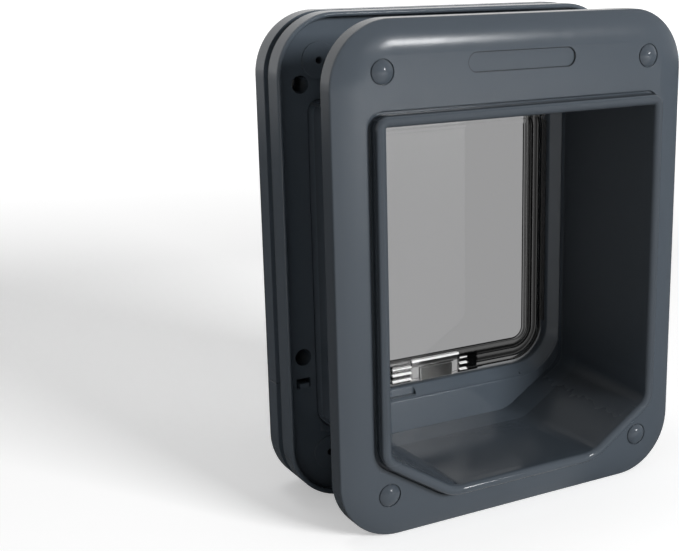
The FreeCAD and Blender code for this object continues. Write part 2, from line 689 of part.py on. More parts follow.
def latch_arm(x, z):
    """Arm of the lower cover: its nose shows in the base's window, its foot hangs from the cover's back."""
    low = z - LATCH_H / 2 + SEAT
    end = COVER_IN - WALL
    x0, x1 = x - ARM_W / 2, x + ARM_W / 2
    return fused([box(x0, x1, PLATE_Y - ARM_PROUD, end, low, low + ARM_T),
                  box(x0, x1, end - ARM_DROP, end, low - ARM_DROP, low + ARM_T),
                  box(x0, x1, end - PAST, COVER_IN + JOIN, low - ARM_DROP, SEAM_Z - SEAM_GAP)])


def stem_slots(y0, y1):
    """Room for the bolts' stems over their whole travel."""
    half = STEM_W / 2 + SEAT
    return [box(x - half, x + half, y0, y1, STEM_Z - SEAT, STEM_Z + STEM_H + BOLT_TRAVEL + SEAT)
            for x in (-BOLT_X, BOLT_X)]


def lower_cover(cover):
    lower = cover.common(box(-FRAME_W, FRAME_W, 0, 2 * COVER_BACK, -FRAME_H, SEAM_Z - SEAM_GAP / 2))
    lower = fused([lower] + both_sides(latch_arm, (LATCH_X, LATCH_Z)))
    return cut_all(lower, stem_slots(COVER_IN - PAST, COVER_BACK + PAST))


# The flap
def border_section(place):
    """Border with ribs and the grooves between them on the outer side, flat behind."""
    pane_front, pane_back = FLAP_MID - PANE_T / 2, FLAP_MID + PANE_T / 2
    flank, floor = BORDER_RIB_R, FLAP_Y + BORDER_DEEP
    pitch = (BORDER_W - BORDER_IN - BORDER_OUT - BORDER_RIB_W) / (BORDER_RIBS - 1)
    corners = [(0, pane_front, 0), (BORDER_IN, pane_front, 0)]
    for k in range(BORDER_RIBS):
        first = BORDER_IN + k * pitch
        last, front = first + BORDER_RIB_W, FLAP_Y + k * BORDER_RIB_STEP
        corners += [(first, floor, 0)] if k > 0 else []
        corners += [(first + flank, front, flank), (last - flank, front, flank), (last, floor, 0)]
    corners += [(BORDER_W, floor, 0), (BORDER_W, FLAP_BACK, 0), (PANE_T / 2, FLAP_BACK, 0), (0, pane_back, 0)]
    return section_wire(place, corners)


def catch_cuts():
    """Notch for the catch's block, and shallow seats for its wings beside it."""
    block, wing = CATCH_BLOCK_W / 2 + SEAT, CATCH_W / 2 + SEAT
    return [box(-block, block, FLAP_Y - PAST, FLAP_BACK + PAST, FLAP_BOTTOM - PAST, CATCH_TOP + SEAT),
            box(-wing, wing, FLAP_Y - PAST, WING_BACK, FLAP_BOTTOM - PAST, WING_TOP + SEAT)]


def flap_pane():
    inner = -BORDER_W
    pane = prism(flap_outline(inner + JOIN / 2), FLAP_MID - PANE_T / 2, FLAP_MID + PANE_T / 2)
    bar = cross_rod(HINGE_BAR_R, FLAP_MID, HINGE_Z, -FLAP_HALF, FLAP_HALF)
    web = box(-FLAP_HALF, FLAP_HALF, FLAP_Y, FLAP_BACK, HINGE_Z - BORDER_W + HINGE_BAR_R, HINGE_Z)
    flap = fused([swept(flap_outline(inner), border_section), pane, bar, web])
    cuts = both_sides(lambda x, z: cross_rod(PIN_D / 2, FLAP_MID, z, x - math.copysign(PIN_HELD, x),
                                             x + math.copysign(PAST, x)), (FLAP_HALF, HINGE_Z))
    cuts += both_sides(lambda x, z: rod(CATCH_SCREW_D / 2 + SEAT, x, z, FLAP_Y, FLAP_BACK + PAST),
                       (CATCH_SCREW_X, CATCH_SCREW_Z))
    cuts += both_sides(lambda x, z: rod(CATCH_SCREW_HEAD[0] / 2 + SEAT, x, z, FLAP_BACK - CATCH_SCREW_SINK,
                                        FLAP_BACK + PAST), (CATCH_SCREW_X, CATCH_SCREW_Z))
    return cut_all(flap, catch_cuts() + cuts)


def magnet_span():
    """Front and back of the flap's magnet, behind the box's clear wall."""
    front = FLAP_Y - BOX_PROUD + MAGNET_COVER + MAGNET_GAP
    return front, front + MAGNET[1]


def catch_wing(side):
    """Thin plate with ribs along it, a flange at its foot and a row of pegs along its top."""
    x0, x1 = side * (CATCH_BLOCK_W / 2 - JOIN), side * CATCH_W / 2
    plate, rib_front = FLAP_Y - WING_PROUD, FLAP_Y - WING_PROUD - WING_RIB_PROUD
    pieces = [box(x0, x1, plate, WING_BACK, CATCH_LOW, WING_TOP - WING_RIB_T),
              box(x0, x1, rib_front, plate + JOIN, CATCH_LOW, CATCH_LOW + WING_FLANGE_T)]
    for down in WING_RIBS_DOWN:
        middle = WING_TOP - down
        pieces.append(box(x0, x1, rib_front, plate + JOIN, middle - WING_RIB_T / 2, middle + WING_RIB_T / 2))
    span = x1 - x0
    for start, end in WING_PEGS:
        pieces.append(box(x0 + span * start, x0 + span * end, plate, WING_BACK, WING_TOP - 2 * WING_RIB_T,
                          WING_TOP))
    return pieces


def catch_housing():
    """Clear block through the flap, with the magnet's box before it and a ribbed wing on each side."""
    block, half = CATCH_BLOCK_W / 2, CATCH_BOX_W / 2
    front, block_front = FLAP_Y - BOX_PROUD, FLAP_Y - BLOCK_PROUD
    body = rounded(box(-block, block, block_front, FLAP_BACK + BLOCK_BACK, CATCH_LOW, CATCH_TOP),
                   CATCH_EDGE_R, lambda edge: lies_at_y(block_front)(edge) and edge.BoundBox.ZMin > BOX_TOP)
    window = rounded(box(-half, half, front, block_front + JOIN, CATCH_LOW, BOX_TOP), CATCH_EDGE_R,
                     lies_at_y(front))
    housing = fused([body, window] + catch_wing(-1) + catch_wing(1))
    y0, y1 = magnet_span()
    w, h = MAGNET[0] / 2 + MAGNET_GAP, MAGNET[2] + MAGNET_GAP
    pocket = box(-w, w, y0 - MAGNET_GAP, y1 + MAGNET_GAP, CATCH_LOW - PAST, CATCH_LOW + MAGNET_GAP + h)
    holes = both_sides(lambda x, z: rod(CATCH_SCREW_D / 2, x, z, WING_BACK - CATCH_SCREW_BITE,
                                        WING_BACK + PAST), (CATCH_SCREW_X, CATCH_SCREW_Z))
    return cut_all(housing, [pocket] + holes)


def flap_magnet():
    y0, y1 = magnet_span()
    low = CATCH_LOW + MAGNET_GAP
    return box(-MAGNET[0] / 2, MAGNET[0] / 2, y0, y1, low, low + MAGNET[2])


def catch_screws():
    """Driven from the inner side, through the flap's border into the wings."""
    seat = FLAP_BACK - CATCH_SCREW_SINK
    long = seat - WING_BACK + CATCH_SCREW_BITE - SEAT
    return both_sides(lambda x, z: turned_about(
        headed_screw(x, z, seat, CATCH_SCREW_HEAD, CATCH_SCREW_D, long), x, z, seat),
        (CATCH_SCREW_X, CATCH_SCREW_Z))


def pivot_pins():
    return both_sides(lambda x, z: cross_rod(PIN_D / 2, FLAP_MID, z, x,
                                             x + math.copysign(PIN_LONG - PIN_END_GAP, x)),
                      (FLAP_HALF - PIN_HELD, HINGE_Z))


def pivot_bushes():
    def bush(x, z):
        flange_x = x + math.copysign(BUSH_FLANGE_T, x)
        inner = math.copysign(FLAP_HALF + BUSH_END_GAP, x)
        return fused([cross_rod(BUSH_D / 2, FLAP_MID, z, inner, x),
                      cross_rod(BUSH_FLANGE_D / 2, FLAP_MID, z, x, flange_x)]).cut(
            cross_rod(PIN_D / 2 + PIN_RUN, FLAP_MID, z, 0, 2 * x))

    return both_sides(bush, (PIVOT_BLOCK_X, HINGE_Z))


def cover_screws():
    return both_sides(lambda x, z: headed_screw(x, z, WELL_FLOOR - WALL, COVER_SCREW_HEAD, COVER_SCREW_D,
                                                COVER_SCREW_LONG), *WELLS)


def draught_strips():
    low, high = strip_span()
    return both_sides(lambda x, z: box(x, x - math.copysign(STRIP_T, x), FLAP_Y, FLAP_Y + STRIP_W, low, high),
                      (WAY_HALF + STRIP_SEAT, 0))


# Lock bolts, their guide and the magnet under the sill
def bolt(x, front, thick, top):
    """Blade in its slot, with a stem at its foot that reaches back through the lower cover."""
    stem = box(x - STEM_W / 2, x + STEM_W / 2, front + thick / 2, BUTTON_Y, STEM_Z, STEM_Z + STEM_H)
    return fused([tongue(x, BOLT_W / 2, front, front + thick, BOLT_FOOT, top), stem])


def button(x):
    middle = STEM_Z + STEM_H / 2
    cap = box(x - BUTTON_W / 2, x + BUTTON_W / 2, BUTTON_Y, BUTTON_BACK, middle - BUTTON_H / 2,
              middle + BUTTON_H / 2)
    cap = rounded(cap, BUTTON_T / 3, lambda edge: edge.BoundBox.YMax > BUTTON_BACK - TINY)
    half = BUTTON_W / 2 - GRIP_PITCH
    return cut_all(cap, [box(x - half, x + half, BUTTON_BACK - GRIP_DEEP, BUTTON_BACK + PAST,
                             middle + k * GRIP_PITCH - GRIP_W / 2, middle + k * GRIP_PITCH + GRIP_W / 2)
                         for k in (-1, 0, 1)])


def bolt_guide():
    """Plate behind the riser that traps the out bolt, with rails on both sides for the two bolts."""
    front = LIP_Y + WALL
    slot = BOLT_W / 2 + SEAT
    half = BOLT_X + slot + RAIL_T + GUIDE_SIDE
    parts = [box(-half, half, GUIDE_Y, GUIDE_BACK, GUIDE_LOW, GUIDE_TOP)]
    for s in (-1, 1):
        x0, x1 = s * slot, s * (slot + RAIL_T)
        parts.append(box(x0 - BOLT_X, x1 - BOLT_X, front, GUIDE_Y + JOIN, GUIDE_LOW, GUIDE_TOP))
        parts.append(box(x0 + BOLT_X, x1 + BOLT_X, GUIDE_BACK - JOIN, IN_BOLT_Y + IN_BOLT_T, GUIDE_LOW,
                         GUIDE_TOP))
        parts.append(rod(GUIDE_BOSS_D / 2, s * GUIDE_SCREW_X, GUIDE_SCREW_Z, front, GUIDE_Y + JOIN))
    holes = both_sides(lambda x, z: rod(GUIDE_SCREW_D / 2 + SEAT, x, z, front - PAST, GUIDE_BACK + PAST),
                       (GUIDE_SCREW_X, GUIDE_SCREW_Z))
    return cut_all(fused(parts), holes + stem_slots(GUIDE_Y - PAST, GUIDE_BACK + PAST)[:1])


def guide_screws():
    long = GUIDE_BACK - LIP_Y - 2 * JOIN
    return both_sides(lambda x, z: turned_about(
        headed_screw(x, z, GUIDE_BACK, GUIDE_SCREW_HEAD, GUIDE_SCREW_D, long), x, z, GUIDE_BACK),
        (GUIDE_SCREW_X, GUIDE_SCREW_Z))


def holder_span():
    """Between the back of the lip's slant and the cover."""
    return LIP_Y + LIP_DROP + WALL, COVER_IN - SEAT


def sill_magnet():
    y0, y1 = holder_span()
    wide, thick, tall = SILL_MAGNET
    middle = (y0 + y1) / 2
    return box(-wide / 2, wide / 2, middle - thick / 2, middle + thick / 2, SILL_UNDER - tall, SILL_UNDER)


def magnet_holder():
    y0, y1 = holder_span()
    wide, thick, tall = SILL_MAGNET
    middle, w, t = (y0 + y1) / 2, wide / 2 + MAGNET_GAP, thick / 2 + MAGNET_GAP
    holder = box(-HOLDER_W / 2, HOLDER_W / 2, y0, y1, SILL_UNDER - HOLDER_H, SILL_UNDER)
    return holder.cut(box(-w, w, middle - t, middle + t, SILL_UNDER - tall, SILL_UNDER + PAST))


def main():
    cover = cover_whole()
    group = Part.makeCompound
    nodes = {
        "outer_frame": outer_frame(),
        "inner_base": inner_base(),
        "inner_cover": inner_cover(cover),
        "lower_cover": lower_cover(cover),
        "cover_screws": group(cover_screws()),
        "draught_strips": group(draught_strips()),
        "pivot_bushes": group(pivot_bushes()),
        "magnet_holder": magnet_holder(),
        "sill_magnet": sill_magnet(),
        "bolt_guide": bolt_guide(),
        "guide_screws": group(guide_screws()),
        "flap_pane": flap_pane(),
        "pivot_pins": group(pivot_pins()),
        "catch_housing": catch_housing(),
        "flap_magnet": flap_magnet(),
        "catch_screws": group(catch_screws()),
        "out_bolt": bolt(-BOLT_X, OUT_BOLT_Y, OUT_BOLT_T, WAY_BOTTOM - OUT_BOLT_DOWN),
        "out_button": button(-BOLT_X),
        "in_bolt": bolt(BOLT_X, IN_BOLT_Y, IN_BOLT_T, WAY_BOTTOM - IN_BOLT_DOWN),
        "in_button": button(BOLT_X),
    }
    os.makedirs("parts", exist_ok=True)
    for name, shape in nodes.items():
        placed = shape.copy()
        placed.translate(PLACE)
        placed.exportStep("parts/%s.step" % name)
        print(name, "valid" if placed.isValid() else "NOT VALID", len(placed.Solids), "solids",
              [round(v, 2) for v in (placed.BoundBox.XMin, placed.BoundBox.XMax, placed.BoundBox.YMin,
                                     placed.BoundBox.YMax, placed.BoundBox.ZMin, placed.BoundBox.ZMax)])


main()
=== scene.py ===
"""Looks of the cat flap: materials, studio and camera. Every piece is a CAD node of the frame."""
import json
import math
import bpy
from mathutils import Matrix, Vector

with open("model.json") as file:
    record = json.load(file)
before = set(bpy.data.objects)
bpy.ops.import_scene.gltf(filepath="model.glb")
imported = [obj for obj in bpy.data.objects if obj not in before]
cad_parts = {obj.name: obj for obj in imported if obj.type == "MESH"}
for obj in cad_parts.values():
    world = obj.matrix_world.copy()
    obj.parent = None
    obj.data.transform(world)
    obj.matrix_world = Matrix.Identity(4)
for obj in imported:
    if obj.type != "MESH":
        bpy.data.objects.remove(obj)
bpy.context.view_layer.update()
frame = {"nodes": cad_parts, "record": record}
nodes = frame["nodes"]
scene = bpy.context.scene

# Camera: solved from the photograph, as pixels of its 679 x 551 frame
PHOTO_W = 679
FOCAL_PX = 1310.97
CENTRE_PX = 475.02
CAMERA_AT = Vector((-0.35109, -0.56470, 0.28775))
LOOKS_AT = Vector((-0.00848, -0.01535, 0.11730))
SENSOR = 36.0


def make_camera():
    data = bpy.data.cameras.new("camera")
    data.sensor_width = SENSOR
    data.lens = SENSOR * FOCAL_PX / PHOTO_W
    data.shift_x = -(CENTRE_PX - PHOTO_W / 2) / PHOTO_W
    camera = bpy.data.objects.new("camera", data)
    camera.location = CAMERA_AT
    camera.rotation_euler = (LOOKS_AT - CAMERA_AT).to_track_quat("-Z", "Y").to_euler()
    scene.collection.objects.link(camera)
    scene.camera = camera


# The colour sockets of a Mix node
MIX_FIRST, MIX_SECOND, MIX_RESULT = 6, 7, 2


class Shader:
    """A node tree being written: most calls add a node and return its output."""

    def __init__(self, name):
        self.material = bpy.data.materials.new(name)
        self.material.use_nodes = True
        self.tree = self.material.node_tree
        self.tree.nodes.clear()
        self.out = self.tree.nodes.new("ShaderNodeOutputMaterial")

    def add(self, kind, **values):
        node = self.tree.nodes.new(kind)
        for key, value in values.items():
            setattr(node, key, value)
        return node

    def feed(self, value, socket):
        """A socket is linked to the target, a plain value is set on it."""
        if isinstance(value, bpy.types.NodeSocket):
            self.tree.links.new(value, socket)
        else:
            socket.default_value = value

    def set(self, node, **inputs):
        for key, value in inputs.items():
            self.feed(value, node.inputs[key.replace("_", " ")])
        return node

    def place(self, stretch=(1.0, 1.0, 1.0)):
        """Where the shaded point is, in metres of the row frame."""
        where = self.add("ShaderNodeTexCoord").outputs["Object"]
        return self.set(self.add("ShaderNodeMapping"), Vector=where, Scale=stretch).outputs["Vector"]

    def apart(self, vector):
        node = self.add("ShaderNodeSeparateXYZ")
        self.feed(vector, node.inputs[0])
        return node.outputs

    def along(self):
        """Where the shaded point is, as one output for each axis."""
        return self.apart(self.place())

    def noise(self, scale, detail, roughness, stretch=(1.0, 1.0, 1.0)):
        node = self.add("ShaderNodeTexNoise")
        self.set(node, Vector=self.place(stretch), Scale=scale, Detail=detail, Roughness=roughness)
        return node.outputs["Fac"]

    def ramp(self, fac, low, high, start, end):
        """The low colour up to the start, the high one from the end, a run between."""
        node = self.set(self.add("ShaderNodeValToRGB"), Fac=fac)
        stops = node.color_ramp.elements
        stops[0].position, stops[0].color = start, low
        stops[1].position, stops[1].color = end, high
        return node.outputs["Color"]

    def steps(self, fac, bands):
        """Sharp bands of colour: each begins at its place from 0 to 1."""
        node = self.set(self.add("ShaderNodeValToRGB"), Fac=fac)
        node.color_ramp.interpolation = "CONSTANT"
        stops = node.color_ramp.elements
        while len(stops) < len(bands):
            stops.new(0.5)
        for stop, (place, color) in zip(stops, bands):
            stop.position, stop.color = place, color
        return node.outputs["Color"]

    def math(self, operation, *values):
        """One step of arithmetic on sockets and numbers."""
        node = self.add("ShaderNodeMath", operation=operation)
        for value, socket in zip(values, node.inputs):
            self.feed(value, socket)
        return node.outputs[0]

    def over(self, value, limit):
        return self.math("GREATER_THAN", value, limit)

    def under(self, value, limit):
        return self.math("LESS_THAN", value, limit)

    def all_of(self, mask, *others):
        """The masks multiplied: 1 only where each of them is 1."""
        for other in others:
            mask = self.math("MULTIPLY", mask, other)
        return mask

    def any_of(self, mask, *others):
        """The highest of the masks."""
        for other in others:
            mask = self.math("MAXIMUM", mask, other)
        return mask

    def length(self, across, up):
        """The long side of a right triangle with these two legs."""
        squares = [self.math("MULTIPLY", leg, leg) for leg in (across, up)]
        return self.math("SQRT", self.math("ADD", *squares))

    def spread(self, value, start, end, low=0.0, high=1.0):
        """The low value at the start, the high one at the end, a straight run between."""
        node = self.add("ShaderNodeMapRange")
        self.set(node, Value=value, From_Min=start, From_Max=end, To_Min=low, To_Max=high)
        return node.outputs["Result"]

    def eased(self, value, start, end):
        """0 at the start, 1 at the end, smooth between."""
        node = self.add("ShaderNodeMapRange", interpolation_type="SMOOTHSTEP")
        return self.set(node, Value=value, From_Min=start, From_Max=end).outputs["Result"]

    def mixed(self, fac, first, second):
        """The first colour where the factor is 0, the second where it is 1."""
        node = self.set(self.add("ShaderNodeMix", data_type="RGBA"), Factor=fac)
        self.feed(first, node.inputs[MIX_FIRST])
        self.feed(second, node.inputs[MIX_SECOND])
        return node.outputs[MIX_RESULT]

    def bump(self, height, strength, distance, normal=None):
        node = self.set(self.add("ShaderNodeBump"), Strength=strength, Distance=distance, Height=height)
        if normal is not None:
            self.feed(normal, node.inputs["Normal"])
        return node.outputs["Normal"]

    def diffuse(self, tone):
        return self.set(self.add("ShaderNodeBsdfDiffuse"), Color=grey(tone)).outputs[0]

    def glow(self, strength):
        return self.set(self.add("ShaderNodeEmission"), Color=grey(1.0), Strength=strength).outputs[0]

    def summed(self, first, second):
        node = self.add("ShaderNodeAddShader")
        self.feed(first, node.inputs[0])
        self.feed(second, node.inputs[1])
        return node.outputs[0]

    def blend(self, factor, first, second):
        """The first surface where the factor is 0, the second where it is 1."""
        node = self.add("ShaderNodeMixShader")
        for source, socket in zip((factor, first, second), node.inputs):
            self.feed(source, socket)
        return node.outputs[0]

    def finish(self, surface):
        self.feed(surface, self.out.inputs["Surface"])

    def principled(self, **inputs):
        self.finish(self.set(self.add("ShaderNodeBsdfPrincipled"), **inputs).outputs["BSDF"])


def grey(value):
    return (value, value, value, 1)


def greys(bands):
    return [(at, grey(tone)) for at, tone in bands]


def solid(color, factor):
    """The colour times the factor, opaque."""
    return (*(channel * factor for channel in color), 1)


SLATE = (0.0515, 0.0632, 0.0770)
CARBON = (0.018, 0.019, 0.021)
EDGE_R = 0.0005           # the mouldings' edges catch the light as if rounded by this
EDGE_SAMPLES = 4
SATIN_SPECULAR = 0.42

FACE_TO_Y = -0.0440       # the outer face lies in front of this, and its proud rim in front of the next
RIM_FROM_Y = -0.0455
RIM_TOP = 0.209
RIM_FLANK, RIM_FLAT = 0.3, 0.7      # a surface that faces the front less than the first is the rim's flank
# The rim's flank takes painted shade: the slate darkened by the first of these. The second is the rim's
# roughness.
RIM_FLANK_SHADE, RIM_ROUGHNESS = 0.45, 0.09
OPENING_HALF, OPENING_TOP = 0.0772, 0.2028
LOW_DOMES_FROM, LOW_DOMES_TOP = 0.066, 0.034      # the two lower domes lie in the corners beyond these

INNER_FROM_Y, INNER_TO_Y = 0.0145, 0.0465
# Painted light on the inner frame's skirt: the slate lightened by this factor.
INNER_PAINTED_LIGHT = 1.36

TUNNEL_HALF, TUNNEL_TOP, TUNNEL_TO_Y = 0.0808, 0.2065, 0.030      # the tunnel's walls lie inside these
WALL_LOW, WALL_HIGH = 0.03, 0.06
# Painted shade on the tunnel's walls: the slate darkened by the first of these. The second is their roughness.
WALL_SHADE, WALL_ROUGHNESS = 0.8, 0.6

RECESS_HALF, RECESS_R, RECESS_Z = 0.02585, 0.00465, 0.2287
# A fine line of painted shade round the oblong recess: its half width, and the slate darkened by this factor.
RECESS_LINE, RECESS_SHADE = 0.00045, 0.5

DOME_X, DOME_UP, DOME_R = 0.0757, 0.1018, 0.0062      # up or down from the middle of the face
MIDDLE_Z = 0.125
DOME_ROUGHNESS = 0.15


def rim_masks(s, x, y, z):
    """The proud rim without the two lower domes, and the part of it that is its flank, where shade is painted."""
    aside = s.math("ABSOLUTE", x)
    proud = s.all_of(s.under(y, RIM_FROM_Y), s.under(z, RIM_TOP))
    domes = s.all_of(s.under(z, LOW_DOMES_TOP), s.over(aside, LOW_DOMES_FROM))
    proud = s.math("SUBTRACT", proud, s.all_of(proud, domes))
    outside = s.any_of(s.over(aside, OPENING_HALF), s.over(z, OPENING_TOP))
    facing = s.apart(s.add("ShaderNodeNewGeometry").outputs["Normal"])
    return proud, s.all_of(proud, outside, s.eased(facing["Y"], -RIM_FLAT, -RIM_FLANK))


def inner_light_mask(s, y):
    """The skirt of the inner frame, where light is painted."""
    return s.all_of(s.over(y, INNER_FROM_Y), s.under(y, INNER_TO_Y))


def wall_shade_mask(s, x, y, z):
    """The tunnel's walls, where shade is painted, fading out towards its floor."""
    inside = s.under(s.math("ABSOLUTE", x), TUNNEL_HALF)
    return s.all_of(inside, s.under(z, TUNNEL_TOP), s.under(y, TUNNEL_TO_Y), s.spread(z, WALL_LOW, WALL_HIGH))


def recess_shade_mask(s, x, y, z):
    """A fine line of painted shade along the edge of the oblong recess in the face."""
    along = s.math("MAXIMUM", s.math("SUBTRACT", s.math("ABSOLUTE", x), RECESS_HALF), 0.0)
    from_edge = s.math("SUBTRACT", s.length(along, s.math("SUBTRACT", z, RECESS_Z)), RECESS_R)
    return s.all_of(s.eased(s.math("ABSOLUTE", from_edge), RECESS_LINE, 0.0), s.under(y, FACE_TO_Y))


def dome_mask(s, x, y, z):
    """The four screw domes of the face."""
    beside = s.math("SUBTRACT", s.math("ABSOLUTE", x), DOME_X)
    above = s.math("SUBTRACT", s.math("ABSOLUTE", s.math("SUBTRACT", z, MIDDLE_Z)), DOME_UP)
    return s.all_of(s.under(s.length(beside, above), DOME_R), s.under(y, FACE_TO_Y))


def satin_plastic(name, color, roughness, grain):
    """Moulded plastic: fine spark-eroded grain, faint flow marks and a slightly uneven gloss, with painted shade
    on the rim's flank, along the recess's edge and on the tunnel's walls, and painted light on the inner frame's
    skirt.
    """
    s = Shader(name)
    x, y, z = s.along()
    proud, flank = rim_masks(s, x, y, z)
    walls = wall_shade_mask(s, x, y, z)
    flow = s.noise(scale=9.0, detail=3.0, roughness=0.55, stretch=(1.0, 1.0, 0.35))
    fine = s.noise(scale=2600.0, detail=2.0, roughness=0.6)
    wide = s.noise(scale=160.0, detail=3.0, roughness=0.5)
    tone = s.ramp(flow, solid(color, 0.95), solid(color, 1.05), start=0.35, end=0.65)
    # Painted shade darkens the rim's flank, the recess's edge and the tunnel's walls; painted light lightens the
    # inner frame's skirt.
    for mask, factor in ((flank, RIM_FLANK_SHADE), (inner_light_mask(s, y), INNER_PAINTED_LIGHT),
                         (recess_shade_mask(s, x, y, z), RECESS_SHADE), (walls, WALL_SHADE)):
        tone = s.mixed(mask, tone, solid(color, factor))
    gloss = s.ramp(wide, grey(roughness - 0.025), grey(roughness + 0.03), start=0.3, end=0.7)
    for mask, rough in ((proud, RIM_ROUGHNESS), (dome_mask(s, x, y, z), DOME_ROUGHNESS), (walls, WALL_ROUGHNESS)):
        gloss = s.mixed(mask, gloss, grey(rough))
    rounded = s.set(s.add("ShaderNodeBevel", samples=EDGE_SAMPLES), Radius=EDGE_R).outputs["Normal"]
    grained = s.bump(fine, strength=grain, distance=0.0002, normal=rounded)
    normal = s.bump(wide, strength=0.02, distance=0.001, normal=grained)
    s.principled(Base_Color=tone, Roughness=gloss, Normal=normal, Specular_IOR_Level=SATIN_SPECULAR)
    return s.material


PANE_TINT = (0.325, 0.325, 0.328, 1)
BORDER_CORNER = 0.020
BORDER_W = 0.0130
# Where each band of the border begins, in metres from its edge, and its tone. The dark tones are the thick
# plastic's own tint; the paler bands are painted highlights on its ribs, and the dark band at the outer edge is a
# painted shadow of the lip.
BORDER_TINT_LIGHT_AND_SHADE = [(0.0, 0.012), (0.0010, 0.16), (0.0034, 0.015), (0.0055, 0.08), (0.0079, 0.006),
                (0.0100, 0.10), (0.0124, 0.02)]


def tinted_clear():
    """Smoke-tinted polycarbonate: clear in the middle, its ribbed border dark, with painted highlights on its
    ribs and a painted shadow of the lip along its outer edge.
    """
    s = Shader("tinted_clear")
    spots = [vertex.co for vertex in nodes["flap_pane"].data.vertices]
    side, low = max(spot.x for spot in spots), min(spot.z for spot in spots)
    x, _, z = s.along()
    across = s.math("MAXIMUM", s.math("SUBTRACT", s.math("ABSOLUTE", x), side - BORDER_CORNER), 0.0)
    down = s.math("MAXIMUM", s.math("SUBTRACT", low + BORDER_CORNER, z), 0.0)
    from_edge = s.math("DIVIDE", s.math("SUBTRACT", BORDER_CORNER, s.length(across, down)), BORDER_CORNER)
    border = greys((at / BORDER_CORNER, tone) for at, tone in BORDER_TINT_LIGHT_AND_SHADE)
    tint_light_and_shade = s.steps(from_edge, border + [(BORDER_W / BORDER_CORNER, PANE_TINT)])
    scuff = s.noise(scale=700.0, detail=4.0, roughness=0.7, stretch=(1.0, 1.0, 0.12))
    gloss = s.ramp(scuff, grey(0.015), grey(0.05), start=0.5, end=0.8)
    s.principled(Base_Color=tint_light_and_shade, Roughness=gloss, IOR=1.3, Transmission_Weight=1.0, Specular_IOR_Level=0.25)
    return s.material


# Bands of the catch and of the ribs on its wings: where each begins, as a share of the height, and its tone. The
# catch's darkest band is a painted dark line under its top; the white bands are a painted highlight along that
# top and painted glints on the wing ribs
CATCH_BANDS = [(0.0, 0.36), (0.66, 0.02), (0.87, 0.5)]
CATCH_TOP_HIGHLIGHT = [(0.0, 0.0), (0.90, 1.0)]
WING_GLINTS = [(0.0, 0.0), (0.08, 1.0), (0.17, 0.0), (0.38, 1.0), (0.50, 0.0), (0.66, 1.0), (0.75, 0.0)]
WINGS_FROM_X, GLINTS_TO_X = 0.0156, 0.0205
GLINT_WHITE = 0.85


def clear_plastic():
    """The catch's clear housing: a painted dark line under a painted white highlight along its top, and painted
    white glints on its wing ribs.
    """
    s = Shader("clear_plastic")
    heights = [vertex.co.z for vertex in nodes["catch_housing"].data.vertices]
    low, high = min(heights), max(heights)
    x, _, z = s.along()
    share = s.math("DIVIDE", s.math("SUBTRACT", z, low), high - low)
    wings = s.all_of(s.over(s.math("ABSOLUTE", x), WINGS_FROM_X), s.under(x, GLINTS_TO_X))
    ribs = s.all_of(s.steps(share, greys(WING_GLINTS)), wings)
    # The painted highlight and glints are opaque white; the rest stays clear.
    glints = s.any_of(s.steps(share, greys(CATCH_TOP_HIGHLIGHT)), ribs)
    tint_light_and_shade = s.mixed(glints, s.steps(share, greys(CATCH_BANDS)), grey(GLINT_WHITE))
    cloud = s.noise(scale=220.0, detail=2.0, roughness=0.5)
    gloss = s.ramp(cloud, grey(0.03), grey(0.09), start=0.4, end=0.7)
    clear = s.math("SUBTRACT", 1.0, glints)
    s.principled(Base_Color=tint_light_and_shade, Roughness=gloss, IOR=1.585, Transmission_Weight=clear)
    return s.material


MAGNET_TONES = (0.50, 0.50, 0.49, 1), (0.64, 0.64, 0.63, 1)
STEEL_TONES = (0.50, 0.51, 0.52, 1), (0.68, 0.68, 0.67, 1)
PILE_TONES = (0.006, 0.006, 0.007, 1), (0.035, 0.035, 0.037, 1)


def grey_magnet():
    s = Shader("magnet")
    grit = s.noise(scale=900.0, detail=4.0, roughness=0.6)
    tone = s.ramp(grit, *MAGNET_TONES, start=0.35, end=0.7)
    normal = s.bump(grit, strength=0.1, distance=0.0002)
    s.principled(Base_Color=tone, Roughness=0.45, Metallic=0.15, Normal=normal)
    return s.material


def zinc_steel():
    s = Shader("screw_steel")
    brushed = s.noise(scale=1500.0, detail=3.0, roughness=0.6)
    tone = s.ramp(brushed, *STEEL_TONES, start=0.35, end=0.7)
    gloss = s.ramp(brushed, grey(0.22), grey(0.38), start=0.3, end=0.7)
    normal = s.bump(brushed, strength=0.06, distance=0.0001)
    s.principled(Base_Color=tone, Roughness=gloss, Metallic=1.0, Normal=normal)
    return s.material


def nylon_pile():
    s = Shader("black_pile")
    tufts = s.noise(scale=1800.0, detail=2.0, roughness=0.7, stretch=(1.0, 1.0, 0.25))
    tone = s.ramp(tufts, *PILE_TONES, start=0.35, end=0.7)
    normal = s.bump(tufts, strength=0.6, distance=0.0006)
    s.principled(Base_Color=tone, Roughness=0.85, Sheen_Weight=0.3, Normal=normal)
    return s.material


SLOTS = {
    "slate_plastic": satin_plastic("slate_plastic", SLATE, roughness=0.20, grain=0.02),
    "black_plastic": satin_plastic("black_plastic", CARBON, roughness=0.42, grain=0.04),
    "black_pile": nylon_pile(),
    "tinted_clear": tinted_clear(),
    "clear_plastic": clear_plastic(),
    "magnet": grey_magnet(),
    "screw_steel": zinc_steel(),
}
SMOOTH_UNDER = math.radians(32)


def dress():
    """Each CAD node takes the material of its slot in the record."""
    for part in frame["record"]["subparts"]:
        node = nodes[part["node"]]
        node.data.materials.clear()
        node.data.materials.append(SLOTS[part["material_slot"]])
        node.data.shade_smooth()
        node.data.set_sharp_from_angle(angle=SMOOTH_UNDER)


